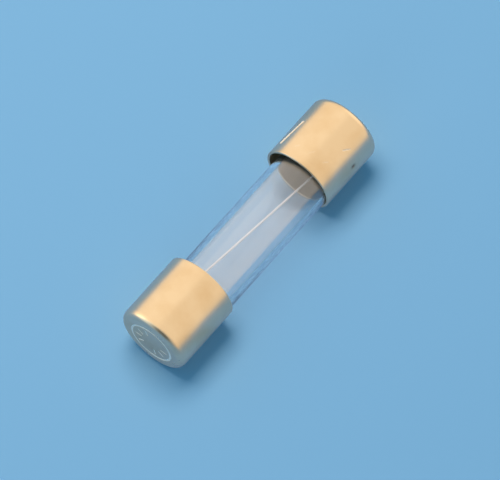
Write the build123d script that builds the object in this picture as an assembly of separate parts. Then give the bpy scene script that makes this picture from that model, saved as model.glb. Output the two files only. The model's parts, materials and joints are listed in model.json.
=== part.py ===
"""A 5 x 20 mm glass cartridge fuse with a time-lag element, standing on one end.

Frame: millimetres, +Z along the caps' common axis, origin at the centre of the
bottom cap's flat end. The top cap's end carries a coined ring. The glass tube
leans to one side inside the caps, and the fuse wire runs through it on a slant,
from the rim of one end to the opposite rim of the other, where it is hooked over
the glass and soldered into the cap.
"""
from build123d import *
import math
import os

# ---- driving dimensions -------------------------------------------------
OVERALL_LENGTH = 20.2
CAP_DIAMETER = 5.1
CAP_LENGTH = 5.2
CAP_WALL = 0.2
CAP_END_THICKNESS = 0.25
CAP_CORNER_RADIUS = 0.5     # outside, between the cap's end and its barrel
CAP_INNER_BEVEL = 0.22      # inside the same corner, under the solder
CAP_LIP_BEVEL = 0.05        # both edges of the cap's open lip

RING_RADIUS = 1.58          # coined ring in the top cap's end
RING_WIDTH = 0.16
RING_DEPTH = 0.05

TUBE_CLEARANCE = 0.225      # radial gap between a centred tube and the cap's wall
TUBE_WALL = 0.4
TUBE_RIM_BEVEL = 0.12       # fire-polished edges of the tube's ends
TUBE_END_GAP = 0.3          # solder left between the tube's end and the cap's end
LEAN_GAP = 0.02             # gap left on the side that the tube leans to
LEAN_DIRECTION = 185.0      # degrees round Z from +X

WIRE_DIAMETER = 0.15
WIRE_CLEARANCE = 0.01       # between the wire and the glass that it hooks over
WIRE_BEND = 0.16            # run of each straight length that its bend takes up
WIRE_TAIL = 0.12            # length of the hook that lies on the tube's end
WIRE_TOP_DIRECTION = -62.0  # side of the tube where the wire hooks over its top end
WIRE_BOTTOM_DIRECTION = 101.0

SOLDER_PLUG_HEIGHT = 0.8    # at the bore's wall, from the tube's end
SOLDER_DISH = 0.3           # depth of the plug's dished surface
SOLDER_COLLAR = 0.5         # height of the solder outside the tube

PAST = 1.0                  # how far a cutting tool runs past what it cuts

# ---- sizes that follow from them ----------------------------------------
CAP_RADIUS = CAP_DIAMETER / 2
CAP_INNER_RADIUS = CAP_RADIUS - CAP_WALL
TUBE_RADIUS = CAP_INNER_RADIUS - TUBE_CLEARANCE
BORE_RADIUS = TUBE_RADIUS - TUBE_WALL
TUBE_BOTTOM = CAP_END_THICKNESS + TUBE_END_GAP
TUBE_TOP = OVERALL_LENGTH - TUBE_BOTTOM
WIRE_RADIUS = WIRE_DIAMETER / 2


def direction(degrees):
    """Unit vector in the plane of the caps, at an angle round Z from +X."""
    return Vector(math.cos(math.radians(degrees)), math.sin(math.radians(degrees)), 0)


TUBE_CENTRE = direction(LEAN_DIRECTION) * (TUBE_CLEARANCE - LEAN_GAP)


def standing(radius, low, high, centre=Vector(0, 0, 0)):
    """A round bar along Z between two heights."""
    bar = Cylinder(radius, high - low, align=(Align.CENTER, Align.CENTER, Align.MIN))
    return Pos(centre.X, centre.Y, low) * bar


def turned_over(shape):
    """The same shape at the other end of the fuse, mirrored in its middle plane."""
    return mirror(shape, about=Plane.XY.offset(OVERALL_LENGTH / 2))


def cap_inside(height):
    """What a bottom cap holds, up to a height."""
    inside = standing(CAP_INNER_RADIUS, CAP_END_THICKNESS, height)
    return chamfer(inside.edges().group_by(Axis.Z)[0], CAP_INNER_BEVEL)


def drawn_cap():
    """A drawn cup standing on its closed end, with a rounded corner."""
    cup = standing(CAP_RADIUS, 0, CAP_LENGTH)
    cup = fillet(cup.edges().group_by(Axis.Z)[0], CAP_CORNER_RADIUS)
    cup = cup - cap_inside(CAP_LENGTH + PAST)
    return chamfer(cup.edges().group_by(Axis.Z)[-1], CAP_LIP_BEVEL)


def coined_ring():
    """The V-shaped groove that a punch leaves in the top cap's end."""
    half_width = RING_WIDTH / 2
    with BuildSketch(Plane.XZ) as section:
        with Locations((RING_RADIUS, OVERALL_LENGTH)):
            Polygon((-half_width, 0), (0, -RING_DEPTH), (half_width, 0), align=None)
    return revolve(section.sketch, axis=Axis.Z)


def glass_tube():
    """The glass tube, with all four edges of its ends eased."""
    tube = standing(TUBE_RADIUS, TUBE_BOTTOM, TUBE_TOP, TUBE_CENTRE)
    tube = tube - standing(BORE_RADIUS, TUBE_BOTTOM - PAST, TUBE_TOP + PAST, TUBE_CENTRE)
    rims = tube.edges().group_by(Axis.Z)
    return chamfer(rims[0] + rims[-1], TUBE_RIM_BEVEL)


def hook(side, end, outward):
    """Where the wire turns over the tube's end, and where its tail stops."""
    reach = BORE_RADIUS - WIRE_RADIUS - WIRE_CLEARANCE
    above = outward * (WIRE_RADIUS + WIRE_CLEARANCE)
    corner = TUBE_CENTRE + direction(side) * reach + Vector(0, 0, end + above)
    return corner, corner + direction(side) * (WIRE_TAIL + WIRE_BEND)


def bend(before, corner, after):
    """A smooth turn at a corner between two straight lengths of wire."""
    start = corner + (before - corner).normalized() * WIRE_BEND
    finish = corner + (after - corner).normalized() * WIRE_BEND
    return Bezier(start, corner, finish)


def fuse_wire():
    """One straight wire on a slant, with its ends hooked over the tube's rims."""
    top_corner, top_end = hook(WIRE_TOP_DIRECTION, TUBE_TOP, 1)
    low_corner, low_end = hook(WIRE_BOTTOM_DIRECTION, TUBE_BOTTOM, -1)
    low_bend = bend(low_end, low_corner, top_corner)
    top_bend = bend(low_corner, top_corner, top_end)
    path = Wire([
        Line(low_end, low_bend @ 0),
        low_bend,
        Line(low_bend @ 1, top_bend @ 0),
        top_bend,
        Line(top_bend @ 1, top_end),
    ])
    start = Plane(origin=path @ 0, z_dir=path % 0)
    return sweep(start * Circle(WIRE_RADIUS), path=path)


def solder_joint(tube, wire):
    """Solder in the bottom cap: a pool under the tube, a collar and a dished plug."""
    pool = cap_inside(TUBE_BOTTOM + SOLDER_COLLAR)
    plug_top = TUBE_BOTTOM + SOLDER_PLUG_HEIGHT
    plug = standing(BORE_RADIUS, TUBE_BOTTOM, plug_top, TUBE_CENTRE)
    dish_radius = (BORE_RADIUS ** 2 + SOLDER_DISH ** 2) / (2 * SOLDER_DISH)
    dish_height = plug_top - SOLDER_DISH + dish_radius
    dish = Pos(TUBE_CENTRE.X, TUBE_CENTRE.Y, dish_height) * Sphere(dish_radius)
    return (pool + plug) - dish - tube - wire


def build():
    """Every piece of the fuse, by name."""
    tube = glass_tube()
    wire = fuse_wire()
    top_joint = solder_joint(turned_over(tube), turned_over(wire))
    return {
        "glass_tube": tube,
        "bottom_cap": drawn_cap(),
        "top_cap": turned_over(drawn_cap()) - coined_ring(),
        "fuse_wire": wire,
        "bottom_solder": solder_joint(tube, wire),
        "top_solder": turned_over(top_joint),
    }


os.makedirs("parts", exist_ok=True)
for name, piece in build().items():
    export_step(piece, f"parts/{name}.step")
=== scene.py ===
"""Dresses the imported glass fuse: drawn caps, glass tube, fuse wire and solder, on a plain stage."""
import json
import math

import bmesh
import bpy
import numpy as np
from bpy.props import FloatProperty, FloatVectorProperty, IntProperty, PointerProperty
from mathutils import Matrix, Vector, noise

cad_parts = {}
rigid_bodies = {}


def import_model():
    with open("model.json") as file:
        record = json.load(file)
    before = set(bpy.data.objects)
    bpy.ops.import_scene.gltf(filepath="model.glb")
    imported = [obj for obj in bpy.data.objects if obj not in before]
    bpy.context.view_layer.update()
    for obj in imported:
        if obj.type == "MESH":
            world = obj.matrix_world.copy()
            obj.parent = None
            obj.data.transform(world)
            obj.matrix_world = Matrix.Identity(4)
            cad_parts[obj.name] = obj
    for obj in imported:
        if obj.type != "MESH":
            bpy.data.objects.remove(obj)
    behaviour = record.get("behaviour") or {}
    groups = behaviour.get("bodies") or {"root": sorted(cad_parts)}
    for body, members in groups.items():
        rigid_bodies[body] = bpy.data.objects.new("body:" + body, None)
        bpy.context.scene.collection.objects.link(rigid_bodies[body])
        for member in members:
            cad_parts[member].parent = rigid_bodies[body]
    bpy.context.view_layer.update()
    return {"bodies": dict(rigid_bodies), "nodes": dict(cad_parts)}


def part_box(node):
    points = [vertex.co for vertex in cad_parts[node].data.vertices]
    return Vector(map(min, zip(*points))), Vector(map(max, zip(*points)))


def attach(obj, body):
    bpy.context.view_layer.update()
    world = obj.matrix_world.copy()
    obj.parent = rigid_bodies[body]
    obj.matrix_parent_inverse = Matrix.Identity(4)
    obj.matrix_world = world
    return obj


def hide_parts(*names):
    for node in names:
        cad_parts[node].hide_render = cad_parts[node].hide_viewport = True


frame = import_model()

BODY = next(iter(frame["bodies"]))
MM = 0.001
WELD = 1e-7

bl_info = {
    "name": "Glass Cartridge Fuse",
    "version": (1, 0, 0),
    "blender": (4, 5, 0),
    "location": "View3D > Sidebar > Fuse",
    "description": "Builds the finished pieces of a small glass cartridge fuse",
    "category": "Object",
}


# ---- what the frame says ------------------------------------------------

def node_size(node):
    """Radius, lowest height and highest height of a CAD node that stands upright."""
    low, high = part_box(node)
    return (high.x - low.x) / 2, low.z, high.z


def node_axis(node):
    """Where the upright axis of a CAD node stands."""
    low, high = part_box(node)
    return Vector(((low.x + high.x) / 2, (low.y + high.y) / 2, 0))


CAP_RADIUS, CAP_FOOT, CAP_MOUTH = node_size("bottom_cap")
CAP_LENGTH = CAP_MOUTH - CAP_FOOT
FUSE_LENGTH = node_size("top_cap")[2]
TUBE_RADIUS, TUBE_BOTTOM, TUBE_TOP = node_size("glass_tube")
TUBE_AXIS = node_axis("glass_tube")


def compass(degrees):
    """Unit vector at an angle round the fuse's axis, from +X."""
    return Vector((math.cos(math.radians(degrees)), math.sin(math.radians(degrees)), 0))


# ---- settings -----------------------------------------------------------

def length(name, description, value):
    """A length setting, in metres."""
    return FloatProperty(
        name=name, description=description, default=value, min=0, unit="LENGTH", precision=6
    )


def angle(name, description, degrees):
    """An angle setting, written in degrees."""
    return FloatProperty(
        name=name, description=description, default=math.radians(degrees), unit="ROTATION"
    )


def colour(name, description, value):
    """A colour setting, as linear red, green and blue."""
    return FloatVectorProperty(
        name=name, description=description, default=value, subtype="COLOR", min=0, max=1
    )


def amount(name, description, value):
    """A setting from 0 to 1."""
    return FloatProperty(
        name=name, description=description, default=value, min=0, max=1, subtype="FACTOR"
    )


def faces(name, description, value):
    """A number of faces round a piece."""
    return IntProperty(name=name, description=description, default=value, min=24, max=512)


class CapSettings(bpy.types.PropertyGroup):
    """Sizes and finish of the two drawn caps."""
    wall: length("Wall", "Thickness of the cap's side", 0.2 * MM)
    end_thickness: length("End thickness", "Thickness of the cap's closed end", 0.25 * MM)
    corner_radius: length("Corner radius", "Outer radius between end and side", 0.5 * MM)
    inner_radius: length("Inner corner radius", "Radius inside the same corner", 0.3 * MM)
    lip_radius: length("Lip radius", "Rounding of the open lip's edges", 0.06 * MM)
    ring_radius: length("Ring radius", "Radius of the ring coined in the top end", 1.58 * MM)
    ring_width: length("Ring width", "Width of the coined ring", 0.17 * MM)
    ring_depth: length("Ring depth", "Depth of the coined ring", 0.075 * MM)
    tick_width: length("Stroke width", "Width of the struck strokes", 0.14 * MM)
    tick_depth: length("Stroke depth", "Depth of the struck strokes", 0.07 * MM)
    waviness: length("Waviness", "How far the drawn side strays from round", 0.01 * MM)
    segments: faces("Segments", "Faces round the cap", 448)
    metal: colour("Metal", "Colour of the plated metal", (0.89, 0.75, 0.535))
    tarnish: colour("Tarnish", "Colour of the duller patches", (0.80, 0.63, 0.40))
    # The next two colours are painted light: a highlight on struck and scratched metal, and shade in the
    # deepest dents.
    bright: colour("Bright", "Colour where the metal is struck or scratched", (1.0, 0.95, 0.90))
    dent_shade: colour("Dent shade", "Colour in the deepest dents", (0.16, 0.15, 0.13))
    roughness: amount("Roughness", "Roughness of the plated metal", 0.30)
    inside: colour("Inside", "Colour of the dull metal inside the cap", (0.62, 0.30, 0.06))


class GlassSettings(bpy.types.PropertyGroup):
    """Sizes and finish of the glass tube."""
    wall: length("Wall", "Thickness of the tube's wall", 0.4 * MM)
    rim_radius: length("Rim radius", "Fire-polished rounding of the tube's ends", 0.14 * MM)
    segments: faces("Segments", "Faces round the tube", 256)
    tint: colour("Tint", "Colour of the glass", (0.945, 0.938, 0.946))


class WireSettings(bpy.types.PropertyGroup):
    """Sizes and finish of the fuse wire and the solder that holds it."""
    diameter: length("Diameter", "Diameter of the wire", 0.15 * MM)
    clearance: length("Clearance", "Gap between the wire and the glass", 0.01 * MM)
    bend_radius: length("Bend radius", "Radius where the wire turns over the glass", 0.14 * MM)
    tail: length("Tail", "Length of the hook that lies on the tube's end", 0.28 * MM)
    top_side: angle("Top side", "Where the wire hooks over the top end", -62)
    bottom_side: angle("Bottom side", "Where the wire hooks over the bottom end", 101)
    tin: colour("Tin", "Colour of the tinned wire", (0.82, 0.86, 0.92))
    solder: colour("Solder", "Colour of the solder", (0.58, 0.57, 0.55))


class StageSettings(bpy.types.PropertyGroup):
    """Backdrop, lights and camera."""
    backdrop: colour("Backdrop", "Colour of the surface behind the fuse", (0.235, 0.50, 0.80))
    mirrored: colour("Mirrored backdrop", "Even tone in what is reflected of it", (0.19, 0.28, 0.52))
    mirrored_share: amount("Share of that tone", "How much of the reflection is the even tone", 0.5)
    ambient: colour("Ambient", "Colour of the light from all round", (0.05, 0.25, 0.34))
    reflected: colour("Reflected", "What metal and glass reflect of the surroundings", (0.97, 0.79, 0.60))
    reflected_top: colour("Reflected from above", "The same, from above the top cap", (0.85, 0.95, 1.0))
    distance_colour: colour("Distance", "What shows beyond the stage", (0.88, 0.91, 0.93))
    azimuth: angle("Azimuth", "Camera's angle round the fuse", -17.1)
    elevation: angle("Elevation", "Camera's angle above the horizon", 20)
    roll: angle("Roll", "Camera's turn about its own line of sight", 221.9)
    distance: length("Distance", "From the camera to the fuse", 300 * MM)
    shot_width: length("Shot width", "Width of what the camera sees at the fuse", 32.28 * MM)
    aim: FloatVectorProperty(
        name="Aim",
        description="Point in the middle of the picture",
        default=(-0.31 * MM, 0.09 * MM, 10.5 * MM),
        subtype="TRANSLATION",
        unit="LENGTH",
    )


class FuseSettings(bpy.types.PropertyGroup):
    """Everything that can be set on the fuse."""
    cap: PointerProperty(type=CapSettings)
    glass: PointerProperty(type=GlassSettings)
    wire: PointerProperty(type=WireSettings)
    stage: PointerProperty(type=StageSettings)


# ---- node trees ---------------------------------------------------------

def add_node(tree, kind, inputs=None, **settings):
    """A node with its settings, and each input linked to a socket or set to a value."""
    node = tree.nodes.new(kind)
    for name, value in settings.items():
        setattr(node, name, value)
    for key, value in (inputs or {}).items():
        if isinstance(value, bpy.types.NodeSocket):
            tree.links.new(value, node.inputs[key])
        else:
            node.inputs[key].default_value = value
    return node


def calculate(tree, operation, *values):
    """The result of one Math node."""
    node = add_node(tree, "ShaderNodeMath", dict(enumerate(values)), operation=operation)
    return node.outputs[0]


def new_geometry_tree(name, inputs):
    """A Geometry Nodes tree with its named inputs, and each input's output socket and identifier."""
    tree = bpy.data.node_groups.new(name, "GeometryNodeTree")
    tree.interface.new_socket("Geometry", in_out="INPUT", socket_type="NodeSocketGeometry")
    identifiers = {}
    for label, kind in inputs.items():
        item = tree.interface.new_socket(label, in_out="INPUT", socket_type="NodeSocket" + kind)
        identifiers[label] = item.identifier
    tree.interface.new_socket("Geometry", in_out="OUTPUT", socket_type="NodeSocketGeometry")
    entry = tree.nodes.new("NodeGroupInput")
    return tree, entry.outputs, identifiers


def finish_tree(tree, geometry, material):
    """Ends a tree in Realize Instances and Set Material."""
    real = add_node(tree, "GeometryNodeRealizeInstances", {"Geometry": geometry})
    painted = add_node(tree, "GeometryNodeSetMaterial", {"Geometry": real.outputs[0], "Material": material})
    add_node(tree, "NodeGroupOutput", {0: painted.outputs[0]})


def turned_tree():
    """Turns a section round the Z axis, as on a lathe, after rounding its corners.

    The section is a chain of edges in the XZ plane, and its points carry the radius
    of their corner in the attribute corner_radius.
    """
    inputs = {"Segments": "Int", "Corner Steps": "Int", "Material": "Material"}
    tree, entry, identifiers = new_geometry_tree("turned_piece", inputs)
    radius = add_node(tree, "GeometryNodeInputNamedAttribute", {"Name": "corner_radius"}, data_type="FLOAT")
    chain = add_node(tree, "GeometryNodeMeshToCurve", {"Mesh": entry["Geometry"]})
    rounded = add_node(
        tree,
        "GeometryNodeFilletCurve",
        {"Curve": chain.outputs[0], "Count": entry["Corner Steps"], "Radius": radius.outputs["Attribute"]},
        mode="POLY",
    )
    section = add_node(tree, "GeometryNodeCurveToMesh", {"Curve": rounded.outputs[0]})
    size = add_node(tree, "GeometryNodeAttributeDomainSize", {"Geometry": section.outputs[0]})
    count = size.outputs["Point Count"]
    columns = calculate(tree, "ADD", entry["Segments"], 1)
    grid = add_node(tree, "GeometryNodeMeshGrid", {"Vertices X": columns, "Vertices Y": count})
    index = add_node(tree, "GeometryNodeInputIndex").outputs[0]
    column = calculate(tree, "FLOOR", calculate(tree, "DIVIDE", calculate(tree, "ADD", index, 0.5), count))
    row = calculate(tree, "SUBTRACT", index, calculate(tree, "MULTIPLY", column, count))
    place = add_node(tree, "GeometryNodeInputPosition").outputs[0]
    point = add_node(
        tree,
        "GeometryNodeSampleIndex",
        {"Geometry": section.outputs[0], "Value": place, "Index": row},
        data_type="FLOAT_VECTOR",
    )
    along = add_node(tree, "ShaderNodeSeparateXYZ", {0: point.outputs[0]})
    turn = calculate(tree, "DIVIDE", calculate(tree, "MULTIPLY", column, 2 * math.pi), entry["Segments"])
    turned = add_node(
        tree,
        "ShaderNodeCombineXYZ",
        {
            "X": calculate(tree, "MULTIPLY", along.outputs["X"], calculate(tree, "COSINE", turn)),
            "Y": calculate(tree, "MULTIPLY", along.outputs["X"], calculate(tree, "SINE", turn)),
            "Z": along.outputs["Z"],
        },
    )
    surface = add_node(
        tree, "GeometryNodeSetPosition", {"Geometry": grid.outputs["Mesh"], "Position": turned.outputs[0]}
    )
    closed = add_node(
        tree, "GeometryNodeMergeByDistance", {"Geometry": surface.outputs[0], "Distance": WELD}
    )
    smooth = add_node(tree, "GeometryNodeSetShadeSmooth", {"Geometry": closed.outputs[0]})
    finish_tree(tree, smooth.outputs[0], entry["Material"])
    return tree, identifiers


WIRE_SIDES = 24
WIRE_BEND_STEPS = 12


def wire_tree():
    """Draws round wire along a chain of edges, after rounding its corners."""
    inputs = {"Wire Radius": "Float", "Bend Radius": "Float", "Material": "Material"}
    tree, entry, identifiers = new_geometry_tree("drawn_wire", inputs)
    chain = add_node(tree, "GeometryNodeMeshToCurve", {"Mesh": entry["Geometry"]})
    bent = add_node(
        tree,
        "GeometryNodeFilletCurve",
        {
            "Curve": chain.outputs[0],
            "Count": WIRE_BEND_STEPS,
            "Radius": entry["Bend Radius"],
            "Limit Radius": True,
        },
        mode="POLY",
    )
    ring = add_node(
        tree,
        "GeometryNodeCurvePrimitiveCircle",
        {"Resolution": WIRE_SIDES, "Radius": entry["Wire Radius"]},
    )
    tube = add_node(
        tree,
        "GeometryNodeCurveToMesh",
        {"Curve": bent.outputs[0], "Profile Curve": ring.outputs[0], "Fill Caps": True},
    )
    smooth = add_node(tree, "GeometryNodeSetShadeSmooth", {"Geometry": tube.outputs[0]})
    finish_tree(tree, smooth.outputs[0], entry["Material"])
    return tree, identifiers


# ---- making pieces ------------------------------------------------------

def chain_object(name, points, radii=None):
    """An object whose mesh is a chain of edges, with a corner radius at each point."""
    mesh = bpy.data.meshes.new(name)
    edges = [(i, i + 1) for i in range(len(points) - 1)]
    mesh.from_pydata(points, edges, [])
    if radii:
        attribute = mesh.attributes.new("corner_radius", "FLOAT", "POINT")
        attribute.data.foreach_set("value", radii)
    piece = bpy.data.objects.new(name, mesh)
    bpy.context.scene.collection.objects.link(piece)
    return piece


def grown(piece, tree, identifiers, values):
    """Runs a node tree on a piece and leaves it a plain mesh with its modifier removed."""
    modifier = piece.modifiers.new(tree.name, "NODES")
    modifier.node_group = tree
    for label, value in values.items():
        modifier[identifiers[label]] = value
    graph = bpy.context.evaluated_depsgraph_get()
    start = piece.data
    piece.data = bpy.data.meshes.new_from_object(piece.evaluated_get(graph))
    piece.data.name = piece.name
    piece.modifiers.remove(modifier)
    bpy.data.meshes.remove(start)
    return piece


def face_outwards(piece):
    """Turns every face of a closed piece outwards."""
    work = bmesh.new()
    work.from_mesh(piece.data)
    bmesh.ops.recalc_face_normals(work, faces=work.faces)
    work.to_mesh(piece.data)
    work.free()


def stand_in(piece, slot, *nodes):
    """Makes a finished piece stand for its CAD nodes."""
    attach(piece, BODY)
    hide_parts(*nodes)


def steps(start, stop, pitch):
    """Evenly spaced values from start to stop, both included, no further apart than the pitch."""
    return list(np.linspace(start, stop, max(2, math.ceil(abs(stop - start) / pitch) + 1)))


# ---- materials ----------------------------------------------------------

def new_material(name):
    """A material with its tree, its Principled node and the object's coordinates."""
    material = bpy.data.materials.new(name)
    material.use_nodes = True
    tree = material.node_tree
    shader = next(node for node in tree.nodes if node.type == "BSDF_PRINCIPLED")
    coordinates = add_node(tree, "ShaderNodeTexCoord").outputs["Object"]
    return material, tree, shader, coordinates


def grain(tree, coordinates, scale, detail, stretch=(1, 1, 1)):
    """Noise from 0 to 1, scale times a metre, with its coordinates stretched."""
    mapping = add_node(tree, "ShaderNodeMapping", {"Vector": coordinates, "Scale": stretch})
    texture = add_node(
        tree, "ShaderNodeTexNoise", {"Vector": mapping.outputs[0], "Scale": scale, "Detail": detail}
    )
    return texture.outputs[0]


def ramp(tree, value, low, high, start, stop):
    """Maps a value from low..high to start..stop."""
    node = add_node(
        tree,
        "ShaderNodeMapRange",
        {"Value": value, "From Min": low, "From Max": high, "To Min": start, "To Max": stop},
    )
    return node.outputs[0]


def blended(tree, factor, first, second):
    """A colour between two, by a factor; each is three numbers or a socket."""
    node = add_node(tree, "ShaderNodeMix", {"Factor": factor}, data_type="RGBA")
    colours = [socket for socket in node.inputs if socket.type == "RGBA"]
    for socket, tone in zip(colours, (first, second)):
        if isinstance(tone, bpy.types.NodeSocket):
            tree.links.new(tone, socket)
        else:
            socket.default_value = (*tone, 1)
    return next(socket for socket in node.outputs if socket.type == "RGBA")


def relief(tree, height, distance):
    """A bump from a height between 0 and 1, and its depth in metres."""
    node = add_node(tree, "ShaderNodeBump", {"Height": height, "Distance": distance, "Strength": 1.0})
    return node.outputs[0]


# Struck and scratched marks carry a painted highlight: they turn pale and less mirror-like, so they show
# white as glints would. They and the painted shade in the dents are also rougher.
STRUCK_PALENESS = 0.8     # how far struck metal goes from a mirror to a pale surface that scatters light
WORN_ROUGHNESS = 0.3      # how much rougher struck or stained metal is


def plated_metal(settings):
    """Thin bright plating over drawn metal, with faint draw lines and duller patches.

    Two attributes say where a highlight is painted on struck or scratched metal, and shade in dents.
    """
    material, tree, shader, coordinates = new_material("plated_metal")
    patches = grain(tree, coordinates, scale=420, detail=4)
    lines = grain(tree, coordinates, scale=9000, detail=2, stretch=(1, 1, 0.03))
    tone = ramp(tree, patches, 0.45, 0.75, 0, 1)
    # Painted highlight: where struck or scratched, the metal turns pale and less mirror-like, so the marks
    # show white as glints would.
    bright = add_node(tree, "ShaderNodeAttribute", attribute_name="bright").outputs["Fac"]
    mirror = calculate(tree, "MULTIPLY_ADD", bright, -STRUCK_PALENESS, 1.0)
    tree.links.new(mirror, shader.inputs["Metallic"])
    # Painted shade: the dents are darkened toward the shade colour.
    painted_dent_shade = add_node(tree, "ShaderNodeAttribute", attribute_name="painted_dent_shade").outputs["Fac"]
    plain = blended(tree, tone, settings.metal, settings.tarnish)
    with_painted_highlight = blended(tree, bright, plain, settings.bright)
    tree.links.new(blended(tree, painted_dent_shade, with_painted_highlight, settings.dent_shade), shader.inputs["Base Color"])
    rough = calculate(tree, "ADD", ramp(tree, patches, 0.3, 0.7, -0.03, 0.05), settings.roughness)
    worn = calculate(tree, "MAXIMUM", bright, painted_dent_shade)
    rough = calculate(tree, "MULTIPLY_ADD", worn, WORN_ROUGHNESS, rough)
    tree.links.new(rough, shader.inputs["Roughness"])
    tree.links.new(relief(tree, lines, 0.002 * MM), shader.inputs["Normal"])
    return material


def dull_inside(settings):
    """Bare metal inside a cap, dulled by the flux that the soldering left."""
    material, tree, shader, coordinates = new_material("dull_inside")
    residue = grain(tree, coordinates, scale=900, detail=4)
    darker = [0.7 * part for part in settings.inside]
    shader.inputs["Metallic"].default_value = 0.6
    shader.inputs["Specular IOR Level"].default_value = 0.1
    shader.inputs["Roughness"].default_value = 0.6
    tone = ramp(tree, residue, 0.35, 0.65, 0, 1)
    tree.links.new(blended(tree, tone, settings.inside, darker), shader.inputs["Base Color"])
    return material


def clear_glass(settings):
    """Clear drawn glass."""
    material, _, shader, _ = new_material("clear_glass")
    shader.inputs["Transmission Weight"].default_value = 0.985
    shader.inputs["IOR"].default_value = 1.5
    shader.inputs["Coat Weight"].default_value = 1.0
    shader.inputs["Coat IOR"].default_value = 1.75
    shader.inputs["Coat Roughness"].default_value = 0.05
    shader.inputs["Roughness"].default_value = 0.0
    shader.inputs["Base Color"].default_value = (*settings.tint, 1)
    return material


def tinned_wire(settings):
    """Bright tin over fine copper wire."""
    material, tree, shader, coordinates = new_material("tinned_wire")
    beads = grain(tree, coordinates, scale=6000, detail=2)
    shader.inputs["Metallic"].default_value = 0.3
    shader.inputs["Base Color"].default_value = (*settings.tin, 1)
    tree.links.new(ramp(tree, beads, 0.3, 0.7, 0.4, 0.55), shader.inputs["Roughness"])
    tree.links.new(relief(tree, beads, 0.003 * MM), shader.inputs["Normal"])
    return material


def dull_solder(settings):
    """Solder that froze with a grey, slightly grainy skin."""
    material, tree, shader, coordinates = new_material("dull_solder")
    skin = grain(tree, coordinates, scale=2500, detail=5)
    shader.inputs["Metallic"].default_value = 1.0
    shader.inputs["Base Color"].default_value = (*settings.solder, 1)
    tree.links.new(ramp(tree, skin, 0.3, 0.7, 0.35, 0.55), shader.inputs["Roughness"])
    tree.links.new(relief(tree, skin, 0.01 * MM), shader.inputs["Normal"])
    return material


# ---- the caps -----------------------------------------------------------

CORNER_RUN = 0.03 * MM            # straight run kept beside each rounded corner
PLAIN_END_PITCH = 0.2 * MM        # spacing of the section's points
STRUCK_END_PITCH = 0.02 * MM
STRUCK_CAP_SIDE_PITCH = 0.06 * MM
WORN_SIDE_PITCH = 0.032 * MM
INSIDE_PITCH = 0.5 * MM
STRUCK_FROM = 0.7 * MM            # radius inside which nothing is struck
CAP_CORNER_STEPS = 9


def cap_section(cap, struck):
    """Points and corner radii of a bottom cap's section, from its outer end to its inner one.

    They lie close together where the surface is worked: on a struck end, or else on the side.
    """
    end_pitch = STRUCK_END_PITCH if struck else PLAIN_END_PITCH
    side_pitch = STRUCK_CAP_SIDE_PITCH if struck else WORN_SIDE_PITCH
    flat = CAP_RADIUS - cap.corner_radius - CORNER_RUN
    struck_to = cap.ring_radius + cap.ring_width
    inside = CAP_RADIUS - cap.wall
    mouth = CAP_LENGTH
    points, radii = [], []

    def put(radius, height, corner=0.0):
        points.append((radius, 0, height))
        radii.append(corner)

    for radius in steps(0, STRUCK_FROM, PLAIN_END_PITCH)[:-1]:
        put(radius, 0)
    for radius in steps(STRUCK_FROM, struck_to, end_pitch):
        put(radius, 0)
    put(flat, 0)
    put(CAP_RADIUS, 0, cap.corner_radius)
    below_lip = mouth - cap.lip_radius - CORNER_RUN
    for height in steps(cap.corner_radius + CORNER_RUN, below_lip, side_pitch):
        put(CAP_RADIUS, height)
    put(CAP_RADIUS, mouth, cap.lip_radius)
    put(inside, mouth, cap.lip_radius)
    above_corner = cap.end_thickness + cap.inner_radius + CORNER_RUN
    for height in steps(below_lip, above_corner, INSIDE_PITCH):
        put(inside, height)
    put(inside, cap.end_thickness, cap.inner_radius)
    put(inside - cap.inner_radius - CORNER_RUN, cap.end_thickness)
    put(0, cap.end_thickness)
    return points, radii


def make_cap(name, cap, material, struck):
    """A drawn cap standing on its closed end, as a smooth surface."""
    points, radii = cap_section(cap, struck)
    tree, identifiers = turned_tree()
    piece = chain_object(name, points, radii)
    values = {"Segments": cap.segments, "Corner Steps": CAP_CORNER_STEPS, "Material": material}
    return grown(piece, tree, identifiers, values)


def line_inside(piece, cap, material):
    """Gives the inner wall and floor of a cap that stands on its end their own finish."""
    piece.data.materials.append(material)
    wall = CAP_RADIUS - cap.wall + WELD
    floor = cap.end_thickness / 2
    for face in piece.data.polygons:
        if face.center.xy.length < wall and face.center.z > floor:
            face.material_index = 1


def read_points(piece):
    """The piece's points as an array."""
    points = np.empty(len(piece.data.vertices) * 3)
    piece.data.vertices.foreach_get("co", points)
    return points.reshape(-1, 3)


def write_points(piece, points):
    """Puts the piece's points back."""
    piece.data.vertices.foreach_set("co", points.ravel())
    piece.data.update()


def turn_over(piece):
    """Turns a piece made for the bottom end over to the top end, in the fuse's middle plane."""
    piece.data.transform(Matrix.Translation((0, 0, FUSE_LENGTH)) @ Matrix.Rotation(math.pi, 4, "X"))


def groove(distance, width):
    """Depth from 0 to 1 of a round-bottomed groove, at a distance from its middle."""
    return np.clip(1 - (2 * distance / width) ** 2, 0, 1)


def from_line(spots, start, stop):
    """Distance of each flat spot from a straight line between two points."""
    run = np.subtract(stop, start)
    away = spots - np.array(start)
    along = np.clip(away @ run / (run @ run), 0, 1)
    return np.linalg.norm(away - along[:, None] * run, axis=1)


STROKE_SIDES = (-69, -34, 1, 36, 106, 141, 176)
STROKE_START = 0.82 * MM
STROKE_STOP = 1.22 * MM
# Painted highlight on the struck ring and strokes.
STRUCK_SHINE = 2.5        # above 1, a groove is bright nearly to its edges


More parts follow.
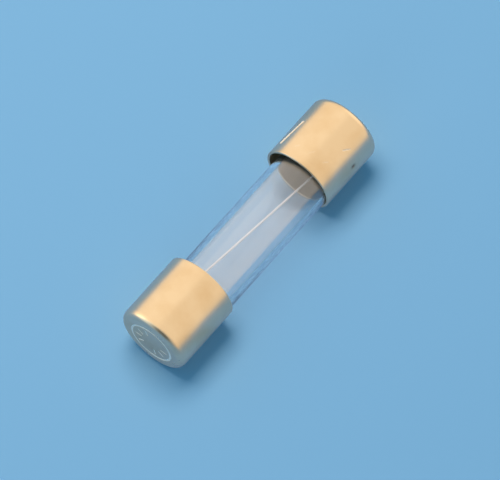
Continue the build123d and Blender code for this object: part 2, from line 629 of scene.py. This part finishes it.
def strike_end(points, cap):
    """Coins the ring and short strokes that point outwards into the top cap's end.

    Says how much painted highlight the coining leaves on each point, from 0 to 1.
    """
    on_end = np.abs(points[:, 2] - FUSE_LENGTH) < WELD
    radius = np.hypot(points[:, 0], points[:, 1])
    ring = groove(np.abs(radius - cap.ring_radius), cap.ring_width)
    depth = cap.ring_depth * ring
    strokes = np.zeros(len(points))
    for side in STROKE_SIDES:
        outward = compass(side).xy
        distance = from_line(points[:, :2], outward * STROKE_START, outward * STROKE_STOP)
        strokes = np.maximum(strokes, groove(distance, cap.tick_width))
    depth = np.maximum(depth, cap.tick_depth * strokes)
    points[on_end, 2] -= depth[on_end]
    return np.where(on_end, np.clip(STRUCK_SHINE * np.maximum(ring, strokes), 0, 1), 0)


WAVES = 1.6               # of the side's waviness, in each radius of the cap
# Painted highlight along the scratches.
BRIGHT_FROM = 0.04 * MM   # depth from which a scratch is fully bright
RAGGED = 0.05 * MM        # how far a scratch strays from its line
RAGGED_PITCH = 0.12 * MM


def wear_side(points, cap, seed, dents, scratches):
    """Lets a cap's outer side stray a little from round, dents it and scratches it.

    Says how much painted highlight the scratches and painted shade the dents leave on each point, from 0 to
    1.
    """
    radius = np.hypot(points[:, 0], points[:, 1])
    turn = np.arctan2(points[:, 1], points[:, 0])
    outer = radius > CAP_RADIUS - cap.lip_radius
    push, bright, painted_dent_shade = np.zeros(len(points)), np.zeros(len(points)), np.zeros(len(points))
    for i in np.flatnonzero(outer):
        spot = Vector((math.cos(turn[i]), math.sin(turn[i]), points[i, 2] / CAP_RADIUS + seed))
        push[i] = cap.waviness * (noise.noise(spot * WAVES) - 1)
    for side, height, wide, high, deep, dent_shade in dents:
        offset = (turn - math.radians(side) + math.pi) % (2 * math.pi) - math.pi
        away = (offset * CAP_RADIUS / wide) ** 2 + ((points[:, 2] - height) / high) ** 2
        pit = np.where(outer, np.exp(-2 * away), 0)
        push -= deep * pit
        painted_dent_shade = np.maximum(painted_dent_shade, np.minimum(1, dent_shade * pit))
    across = (turn % (2 * math.pi) - 2 * math.pi) * CAP_RADIUS
    spots = np.stack((across, points[:, 2]), axis=1)
    ragged = np.array([noise.noise(Vector((x, z, seed)) / RAGGED_PITCH) for x, z in spots]) * RAGGED
    for side_a, height_a, side_b, height_b, wide, deep in scratches:
        start = (math.radians(side_a) * CAP_RADIUS, height_a)
        stop = (math.radians(side_b) * CAP_RADIUS, height_b)
        cut = np.where(outer, groove(np.abs(from_line(spots, start, stop) + ragged), wide), 0)
        push += deep * cut
        bright = np.maximum(bright, cut * min(1, abs(deep) / BRIGHT_FROM))
    points[:, :2] *= (1 + push / np.maximum(radius, WELD))[:, None]
    return bright, painted_dent_shade


def mark(piece, name, values):
    """Keeps a number from 0 to 1 on each point of a piece, for its material to read."""
    attribute = piece.data.attributes.new(name, "FLOAT", "POINT")
    attribute.data.foreach_set("value", np.ascontiguousarray(values, dtype=np.float32))


# Dents as (side, height, half width, half height, depth, painted shade from 0 up), scratches as (side,
# height, side, height, width, depth), where metal that is thrown up has a depth above 0 and a cut one below
# 0.
BOTTOM_DENTS = [
    (-163.7, 2.45 * MM, 0.2 * MM, 0.26 * MM, 0.02 * MM, 0.9),
    (-126, 3.55 * MM, 0.22 * MM, 0.25 * MM, 0.016 * MM, 0),
    (-107, 4.75 * MM, 0.2 * MM, 0.15 * MM, 0.012 * MM, 0),
    # These three narrow dents paint a line of shade beside the crease made by the first two scratches.
    (-33.5, 4.1 * MM, 0.07 * MM, 0.30 * MM, 0.01 * MM, 0.9),
    (-36.5, 3.4 * MM, 0.07 * MM, 0.34 * MM, 0.01 * MM, 0.8),
    (-40, 2.7 * MM, 0.07 * MM, 0.28 * MM, 0.01 * MM, 0.7),
]
BOTTOM_SCRATCHES = [
    # These two raised scratches make the crease, whose whiteness is a painted highlight.
    (-36.5, 4.4 * MM, -39.6, 3.65 * MM, 0.2 * MM, 0.045 * MM),
    (-40.2, 3.5 * MM, -45, 2.4 * MM, 0.17 * MM, 0.04 * MM),
    (-128.9, 2.5 * MM, -136.4, 2.05 * MM, 0.12 * MM, -0.02 * MM),
    (-118.7, 4.1 * MM, -123.4, 3.85 * MM, 0.11 * MM, -0.009 * MM),
    (-93, 4.3 * MM, -98.2, 3.9 * MM, 0.11 * MM, -0.007 * MM),
    (-69.6, 4.35 * MM, -73.4, 4.15 * MM, 0.1 * MM, -0.01 * MM),
]
BOTTOM_WEAR = (BOTTOM_DENTS, BOTTOM_SCRATCHES)
TOP_WEAR = ([(-70, 17.6 * MM, 0.5 * MM, 0.4 * MM, 0.006 * MM, 0)], [])


# ---- operators ----------------------------------------------------------

class FUSE_OT_caps(bpy.types.Operator):
    """Makes both drawn caps, with the struck end on the top one"""
    bl_idname = "fuse.caps"
    bl_label = "Drawn Caps"

    def execute(self, context):
        cap = context.scene.fuse.cap
        metal, inside = plated_metal(cap), dull_inside(cap)
        for name, seed, is_top in (("bottom_cap_shell", 0.0, False), ("top_cap_shell", 7.0, True)):
            shell = make_cap(name, cap, metal, is_top)
            line_inside(shell, cap, inside)
            if is_top:
                turn_over(shell)
            points = read_points(shell)
            struck = strike_end(points, cap) if is_top else 0
            bright, painted_dent_shade = wear_side(points, cap, seed, *(TOP_WEAR if is_top else BOTTOM_WEAR))
            write_points(shell, points)
            # Painted highlight on struck and scratched metal, and painted shade in the dents.
            mark(shell, "bright", np.maximum(bright, struck))
            mark(shell, "painted_dent_shade", painted_dent_shade)
            face_outwards(shell)
            stand_in(shell, "cap_metal", "top_cap" if is_top else "bottom_cap")
        return {"FINISHED"}


RIM_STEPS = 8


class FUSE_OT_glass(bpy.types.Operator):
    """Makes the glass tube with its fire-polished ends"""
    bl_idname = "fuse.glass"
    bl_label = "Glass Tube"

    def execute(self, context):
        glass = context.scene.fuse.glass
        bore = TUBE_RADIUS - glass.wall
        middle = (TUBE_BOTTOM + TUBE_TOP) / 2
        low_end = [(bore, 0, TUBE_BOTTOM), (TUBE_RADIUS, 0, TUBE_BOTTOM)]
        top_end = [(TUBE_RADIUS, 0, TUBE_TOP), (bore, 0, TUBE_TOP)]
        points = [(bore, 0, middle), *low_end, *top_end, (bore, 0, middle)]
        radii = [0.0, *[glass.rim_radius] * 4, 0.0]
        tree, identifiers = turned_tree()
        tube = chain_object("clear_tube", points, radii)
        finish = clear_glass(glass)
        values = {"Segments": glass.segments, "Corner Steps": RIM_STEPS, "Material": finish}
        grown(tube, tree, identifiers, values)
        tube.data.transform(Matrix.Translation(TUBE_AXIS))
        face_outwards(tube)
        tube.visible_shadow = False
        stand_in(tube, "clear_glass", "glass_tube")
        return {"FINISHED"}


class FUSE_OT_wire(bpy.types.Operator):
    """Makes the slanting fuse wire, hooked over both ends of the tube"""
    bl_idname = "fuse.wire"
    bl_label = "Fuse Wire"

    def execute(self, context):
        wire = context.scene.fuse.wire
        radius = wire.diameter / 2
        bore = TUBE_RADIUS - context.scene.fuse.glass.wall
        reach = bore - radius - wire.clearance
        rise = Vector((0, 0, radius + wire.clearance))
        top = compass(math.degrees(wire.top_side))
        bottom = compass(math.degrees(wire.bottom_side))
        top_corner = TUBE_AXIS + top * reach + Vector((0, 0, TUBE_TOP)) + rise
        low_corner = TUBE_AXIS + bottom * reach + Vector((0, 0, TUBE_BOTTOM)) - rise
        low_end, top_end = low_corner + bottom * wire.tail, top_corner + top * wire.tail
        points = [low_end, low_corner, top_corner, top_end]
        tree, identifiers = wire_tree()
        drawn = chain_object("tinned_element", [tuple(point) for point in points])
        finish = tinned_wire(wire)
        values = {"Wire Radius": radius, "Bend Radius": wire.bend_radius, "Material": finish}
        grown(drawn, tree, identifiers, values)
        face_outwards(drawn)
        drawn.visible_glossy = False
        stand_in(drawn, "tinned_wire", "fuse_wire")
        return {"FINISHED"}


class FUSE_OT_solder(bpy.types.Operator):
    """Gives both solder joints their finish"""
    bl_idname = "fuse.solder"
    bl_label = "Solder Joints"

    def execute(self, context):
        finish = dull_solder(context.scene.fuse.wire)
        for name in ("bottom_solder", "top_solder"):
            mesh = frame["nodes"][name].data
            mesh.materials.clear()
            mesh.materials.append(finish)
        return {"FINISHED"}


def look_from(settings):
    """The camera's right, up and back directions."""
    turn, lift, roll = settings.azimuth, settings.elevation, settings.roll
    level = Vector((math.cos(turn), math.sin(turn), 0))
    ahead = Vector((math.sin(turn), -math.cos(turn), 0))
    back = ahead * math.cos(lift) + Vector((0, 0, math.sin(lift)))
    upright = back.cross(level)
    right = level * math.cos(roll) + upright * math.sin(roll)
    return right, back.cross(right), back


BACKDROP_REACH = 200 * MM


def make_backdrop(settings):
    """A pale surface that the fuse lies against, seen only from its front.

    What metal and glass reflect of it is partly an even tone, so that the side of a cap that faces
    the fuse's own shadow doesn't turn black.
    """
    left, right = -BACKDROP_REACH, BACKDROP_REACH
    low, high = FUSE_LENGTH / 2 - BACKDROP_REACH, FUSE_LENGTH / 2 + BACKDROP_REACH
    corners = [(left, low), (right, low), (right, high), (left, high)]
    mesh = bpy.data.meshes.new("backdrop")
    mesh.from_pydata([(x, CAP_RADIUS, z) for x, z in corners], [], [(0, 1, 2, 3)])
    backdrop = bpy.data.objects.new("backdrop", mesh)
    bpy.context.scene.collection.objects.link(backdrop)
    material, tree, shader, _ = new_material("backdrop_paint")
    path = add_node(tree, "ShaderNodeLightPath").outputs
    seen_through = calculate(tree, "SUBTRACT", 1.0, path["Is Transmission Ray"])
    reflection = calculate(tree, "MULTIPLY", path["Is Glossy Ray"], seen_through)
    share = calculate(tree, "MULTIPLY", reflection, settings.mirrored_share)
    even = add_node(tree, "ShaderNodeEmission", {"Color": (*settings.mirrored, 1)}).outputs[0]
    shader.inputs["Base Color"].default_value = (*settings.backdrop, 1)
    shader.inputs["Roughness"].default_value = 0.8
    front = add_node(tree, "ShaderNodeMixShader", {0: share, 1: shader.outputs[0], 2: even}).outputs[0]
    clear = add_node(tree, "ShaderNodeBsdfTransparent").outputs[0]
    behind = add_node(tree, "ShaderNodeNewGeometry").outputs["Backfacing"]
    one_sided = add_node(tree, "ShaderNodeMixShader", {0: behind, 1: front, 2: clear})
    output = next(node for node in tree.nodes if node.type == "OUTPUT_MATERIAL")
    tree.links.new(one_sided.outputs[0], output.inputs["Surface"])
    mesh.materials.append(material)


# What is reflected: side and lift of its middle, inner and outer angle, and how much brighter it is.
REFLECTED_PATCHES = [
    (-24, 22, 8, 24, 1.0),
    (-112, 62, 22, 32, -0.34),
    (-150, 66, 22, 52, -0.55),
    (-107, -75, 15, 40, 0.4),
]
TOP_FROM, TOP_FULL = 0.4, 0.75    # height, of 1, over which the reflected light turns to that from above


def patch(tree, heading, side, lift, inner, outer):
    """1 within an angle of a direction, falling to 0 at a wider angle; all in degrees."""
    rise = math.radians(lift)
    towards = compass(side) * math.cos(rise) + Vector((0, 0, math.sin(rise)))
    facing = add_node(tree, "ShaderNodeVectorMath", {0: heading, 1: towards}, operation="DOT_PRODUCT")
    low, high = math.cos(math.radians(outer)), math.cos(math.radians(inner))
    return ramp(tree, facing.outputs["Value"], low, high, 0, 1)


def make_world(settings):
    """Even light from all round, with a pale distance for the camera."""
    world = bpy.data.worlds.new("studio")
    world.use_nodes = True
    tree = world.node_tree
    tree.nodes.clear()
    light = add_node(tree, "ShaderNodeBackground", {"Color": (*settings.ambient, 1)})
    heading = add_node(tree, "ShaderNodeTexCoord").outputs["Generated"]
    strength = 1.0
    for side, lift, inner, outer, gain in REFLECTED_PATCHES:
        shape = patch(tree, heading, side, lift, inner, outer)
        strength = calculate(tree, "MULTIPLY_ADD", shape, gain, strength)
    height = add_node(tree, "ShaderNodeSeparateXYZ", {0: heading}).outputs["Z"]
    above = ramp(tree, height, TOP_FROM, TOP_FULL, 0, 1)
    tone = blended(tree, above, settings.reflected, settings.reflected_top)
    glow = add_node(tree, "ShaderNodeBackground", {"Color": tone, "Strength": strength})
    distance = add_node(tree, "ShaderNodeBackground", {"Color": (*settings.distance_colour, 1)})
    path = add_node(tree, "ShaderNodeLightPath")
    glossy = path.outputs["Is Glossy Ray"]
    lit = add_node(tree, "ShaderNodeMixShader", {0: glossy, 1: light.outputs[0], 2: glow.outputs[0]})
    seen = calculate(tree, "MAXIMUM", path.outputs["Is Camera Ray"], path.outputs["Is Transmission Ray"])
    both = add_node(tree, "ShaderNodeMixShader", {0: seen, 1: lit.outputs[0], 2: distance.outputs[0]})
    add_node(tree, "ShaderNodeOutputWorld", {"Surface": both.outputs[0]})
    bpy.context.scene.world = world


# Each lamp's direction from the fuse's middle, distance, width and height, watts and colour, and
# whether it shows in reflections and through glass.
LAMPS = {
    "key": (
        Vector((0.31, -1, -0.13)), 200 * MM, (95 * MM, 140 * MM), 0.335, (1.0, 0.78, 0.63), False, False
    ),
    "sheen": (
        compass(-47), 150 * MM, (290 * MM, 300 * MM), 0.051, (0.84, 0.76, 0.68), True, True
    ),
    "top": (
        Vector((-0.3, -0.3, 0.9)), 200 * MM, (120 * MM, 120 * MM), 0.045, (1.0, 0.96, 0.9), False, True
    ),
}


def add_softbox(name, direction, distance, size, power, tone, in_reflections, through_glass):
    """A large soft lamp that faces the fuse's middle."""
    data = bpy.data.lights.new(name, "AREA")
    data.shape = "RECTANGLE"
    data.size, data.size_y = size
    data.energy = power
    data.color = tone
    lamp = bpy.data.objects.new(name, data)
    bpy.context.scene.collection.objects.link(lamp)
    middle = Vector((0, 0, FUSE_LENGTH / 2))
    lamp.location = middle + direction.normalized() * distance
    lamp.rotation_mode = "QUATERNION"
    lamp.rotation_quaternion = direction.to_track_quat("Z", "Y")
    lamp.visible_glossy = in_reflections
    lamp.visible_transmission = through_glass


def add_camera(settings):
    """A long camera that looks at the aim."""
    right, up, back = look_from(settings)
    data = bpy.data.cameras.new("camera")
    data.sensor_width = 36
    data.lens = data.sensor_width * settings.distance / settings.shot_width
    data.clip_start, data.clip_end = 0.01, 10
    camera = bpy.data.objects.new("camera", data)
    bpy.context.scene.collection.objects.link(camera)
    turn = Matrix((right, up, back)).transposed().to_4x4()
    camera.matrix_world = Matrix.Translation(Vector(settings.aim) + back * settings.distance) @ turn
    bpy.context.scene.camera = camera


class FUSE_OT_stage(bpy.types.Operator):
    """Makes the backdrop, the soft light and the camera"""
    bl_idname = "fuse.stage"
    bl_label = "Stage"

    def execute(self, context):
        settings = context.scene.fuse.stage
        make_backdrop(settings)
        make_world(settings)
        for name, lamp in LAMPS.items():
            add_softbox(name, *lamp)
        add_camera(settings)
        context.scene.view_settings.view_transform = "Standard"
        return {"FINISHED"}


STEPS = ("caps", "glass", "wire", "solder", "stage")


class FUSE_PT_panel(bpy.types.Panel):
    """Lists the fuse's settings and the operators that build it"""
    bl_idname = "FUSE_PT_panel"
    bl_label = "Glass Fuse"
    bl_space_type = "VIEW_3D"
    bl_region_type = "UI"
    bl_category = "Fuse"

    def draw(self, context):
        layout = self.layout
        for step in STEPS:
            layout.operator("fuse." + step)
        for group in ("cap", "glass", "wire", "stage"):
            box = layout.box()
            box.label(text=group.capitalize())
            settings = getattr(context.scene.fuse, group)
            for name in settings.__annotations__:
                box.prop(settings, name)


CLASSES = (
    CapSettings,
    GlassSettings,
    WireSettings,
    StageSettings,
    FuseSettings,
    FUSE_OT_caps,
    FUSE_OT_glass,
    FUSE_OT_wire,
    FUSE_OT_solder,
    FUSE_OT_stage,
    FUSE_PT_panel,
)


def register():
    """Adds the classes and the scene's settings."""
    for item in CLASSES:
        bpy.utils.register_class(item)
    bpy.types.Scene.fuse = PointerProperty(type=FuseSettings)


def unregister():
    """Takes the settings and the classes away again."""
    del bpy.types.Scene.fuse
    for item in reversed(CLASSES):
        bpy.utils.unregister_class(item)


def main():
    """Builds everything."""
    register()
    for step in STEPS:
        getattr(bpy.ops.fuse, step)()


if __name__ == "__main__":
    main()
